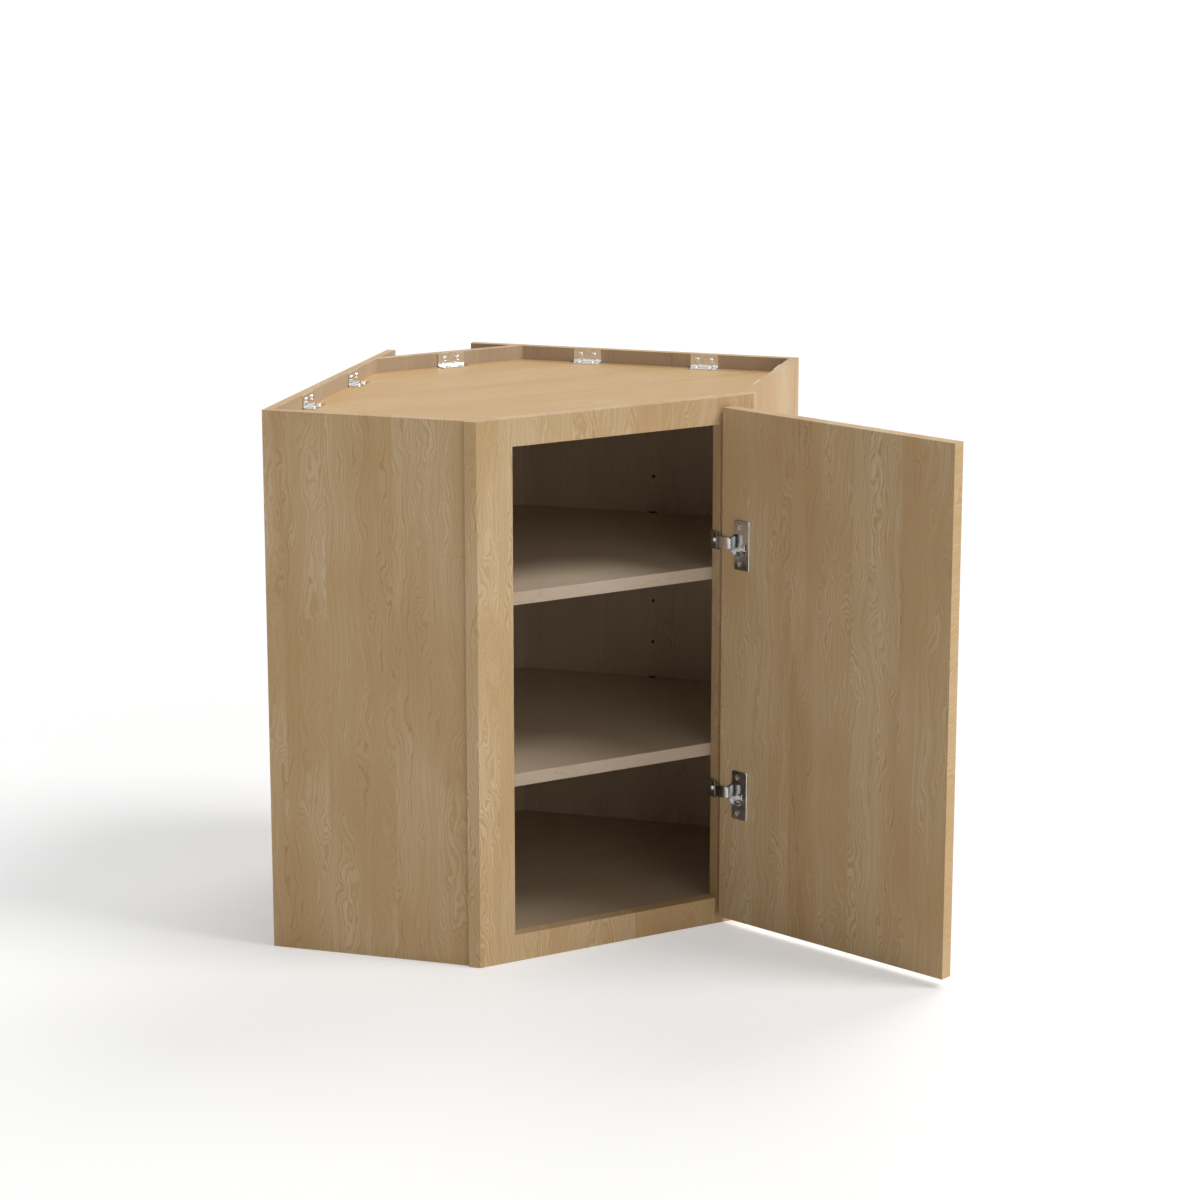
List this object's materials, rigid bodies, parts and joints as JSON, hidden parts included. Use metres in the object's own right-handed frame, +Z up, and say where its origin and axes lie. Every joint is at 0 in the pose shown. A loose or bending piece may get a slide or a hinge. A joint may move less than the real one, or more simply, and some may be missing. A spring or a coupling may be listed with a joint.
{
  "type": "corner wall cabinet",
  "caption": "Diagonal corner wall cabinet with a face frame, recessed top, loose shelves inside and one plain slab door standing open on compact linked hinges.",
  "frame": {"origin": "where the two room walls meet, level with the cabinet's underside", "axes": "+X along the right room wall away from the corner, -Y along the left room wall away from the corner, +Z up; the diagonal front faces +X -Y"},
  "size_m": [0.9351, 0.6096, 0.762],
  "materials": {
    "case_wood": "clear satin lacquer over pale veneer",
    "frame_wood": "clear satin lacquer over solid pale wood",
    "door_wood": "clear satin lacquer",
    "shelf_board": "satin board with a plain edge band",
    "dowel_wood": "raw wood",
    "bracket_steel": "bright nickel plate",
    "hinge_steel": "bright nickel plate",
    "screw_steel": "bright zinc plate",
    "clip_plastic": "matt dark moulding"
  },
  "bodies": {
    "cabinet": {"bottom_bracket_corner": "bracket_steel", "bottom_bracket_front_rail": "bracket_steel", "bottom_bracket_left_back_inner": "bracket_steel", "bottom_bracket_left_back_outer": "bracket_steel", "bottom_bracket_left_side_front": "bracket_steel", "bottom_bracket_left_side_rear": "bracket_steel", "bottom_bracket_right_back_inner": "bracket_steel", "bottom_bracket_right_back_outer": "bracket_steel", "bottom_bracket_right_side_front": "bracket_steel", "bottom_bracket_right_side_rear": "bracket_steel", "bottom_bracket_screws": "screw_steel", "bottom_panel": "case_wood", "bottom_rail": "frame_wood", "corner_back_panel": "case_wood", "frame_dowels": "dowel_wood", "hinge_leaf_screws": "screw_steel", "left_back_panel": "case_wood", "left_side_panel": "case_wood", "left_stile": "frame_wood", "lower_hinge_leaf": "hinge_steel", "lower_leaf_pin": "hinge_steel", "lower_shelf": "shelf_board", "lower_shelf_clips": "clip_plastic", "right_back_panel": "case_wood", "right_side_panel": "case_wood", "right_stile": "frame_wood", "top_bracket_corner": "bracket_steel", "top_bracket_front_rail": "bracket_steel", "top_bracket_left_back_inner": "bracket_steel", "top_bracket_left_back_outer": "bracket_steel", "top_bracket_left_side_front": "bracket_steel", "top_bracket_left_side_rear": "bracket_steel", "top_bracket_right_back_inner": "bracket_steel", "top_bracket_right_back_outer": "bracket_steel", "top_bracket_right_side_front": "bracket_steel", "top_bracket_right_side_rear": "bracket_steel", "top_bracket_screws": "screw_steel", "top_panel": "case_wood", "top_rail": "frame_wood", "upper_hinge_leaf": "hinge_steel", "upper_leaf_pin": "hinge_steel", "upper_shelf": "shelf_board", "upper_shelf_clips": "clip_plastic"},
    "hinge_links": {"upper_hinge_link": "hinge_steel", "lower_hinge_link": "hinge_steel"},
    "door": {"door_panel": "door_wood", "hinge_cup_screws": "screw_steel", "upper_hinge_cup": "hinge_steel", "upper_cup_pin": "hinge_steel", "upper_closing_spring": "hinge_steel", "lower_hinge_cup": "hinge_steel", "lower_cup_pin": "hinge_steel", "lower_closing_spring": "hinge_steel"}
  },
  "joints": [
    {"name": "link_swing", "type": "hinge", "parent": "cabinet", "child": "hinge_links", "pos_m": [0.57269, -0.3468, 0.38], "axis": [0, 0, 1], "range_deg": [0, 57.5]},
    {"name": "door_swing", "type": "hinge", "parent": "hinge_links", "child": "door", "pos_m": [0.59096, -0.35331, 0.38], "axis": [0, 0, 1], "range_deg": [-167.5, 0]}
  ],
  "couplings": [
    {"joint": "link_swing", "follows": "door_swing", "ratio": -0.34328}
  ]
}
